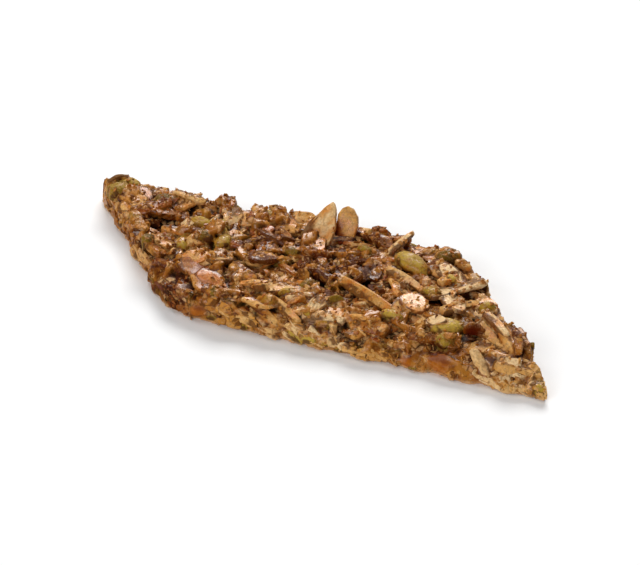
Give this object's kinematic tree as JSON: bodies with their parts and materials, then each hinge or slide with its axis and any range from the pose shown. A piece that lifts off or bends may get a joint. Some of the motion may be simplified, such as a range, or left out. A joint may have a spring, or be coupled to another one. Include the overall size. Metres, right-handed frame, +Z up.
{
  "type": "piece of nut brittle",
  "caption": "Diamond-cut slab of caramel brittle crowded with sliced almonds, slivers and pistachios, lying flat.",
  "frame": {"origin": "on the table plane, under the middle of the bounding box", "axes": "+X along the two long cut edges, +Y from the front edge to the back edge, +Z up from the flat underside to the nuts"},
  "size_m": [0.151, 0.0572, 0.0162],
  "materials": {
    "brittle": "clear amber caramel over pale nuts, glossy on top and drier on the cut faces"
  },
  "bodies": {
    "root": {"nut_brittle": "brittle"}
  },
  "joints": []
}
